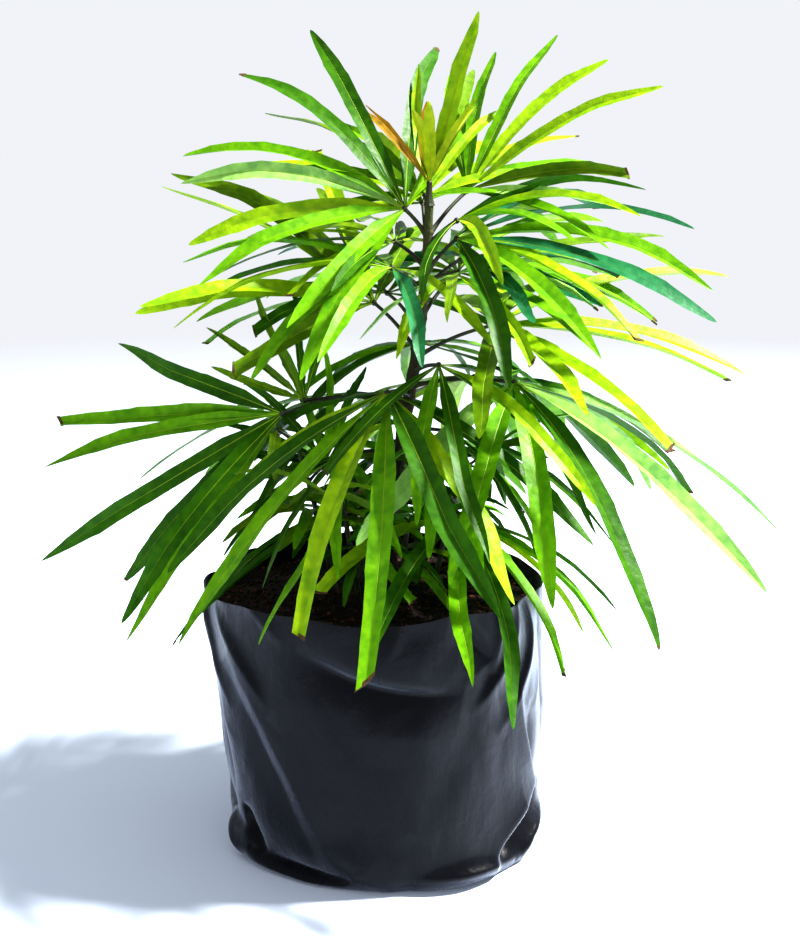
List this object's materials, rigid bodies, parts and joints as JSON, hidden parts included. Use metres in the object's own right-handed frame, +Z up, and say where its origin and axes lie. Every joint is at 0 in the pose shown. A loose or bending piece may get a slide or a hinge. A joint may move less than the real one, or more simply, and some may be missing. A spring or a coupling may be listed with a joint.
{
  "type": "potted false aralia",
  "caption": "False aralia with fans of narrow toothed leaflets on long dark stalks, in a soft black grow bag of dark potting soil",
  "frame": {"origin": "centre of the grow bag's flat underside", "axes": "+Z is up and is the longest extent; -Y is the front; -Z leaves the underside"},
  "size_m": [0.4131, 0.3377, 0.4664],
  "materials": {
    "film": "glossy",
    "soil": "matte",
    "bark": "matte",
    "leaf": "satin",
    "young_leaf": "satin"
  },
  "bodies": {
    "root": {"fan_back_left": "leaf", "fan_back_right": "leaf", "fan_back_upper": "leaf", "fan_foot_back": "leaf", "fan_foot_left": "leaf", "fan_foot_right": "leaf", "fan_front_low": "leaf", "fan_front_right": "leaf", "fan_left_back": "leaf", "fan_left_high": "leaf", "fan_left_low": "leaf", "fan_low_back_left": "leaf", "fan_low_back_right": "leaf", "fan_right_high": "leaf", "fan_right_inner": "leaf", "fan_right_low": "leaf", "fan_right_mid": "leaf", "fan_upper_left": "leaf", "fan_upper_right": "leaf", "grow_bag": "film", "growing_tip": "young_leaf", "potting_soil": "soil", "shoot_back_left": "leaf", "shoot_back_right": "leaf", "shoot_front": "leaf", "shoot_front_left": "leaf", "shoot_left": "leaf", "shoot_right": "leaf", "trunk": "bark"}
  },
  "joints": []
}
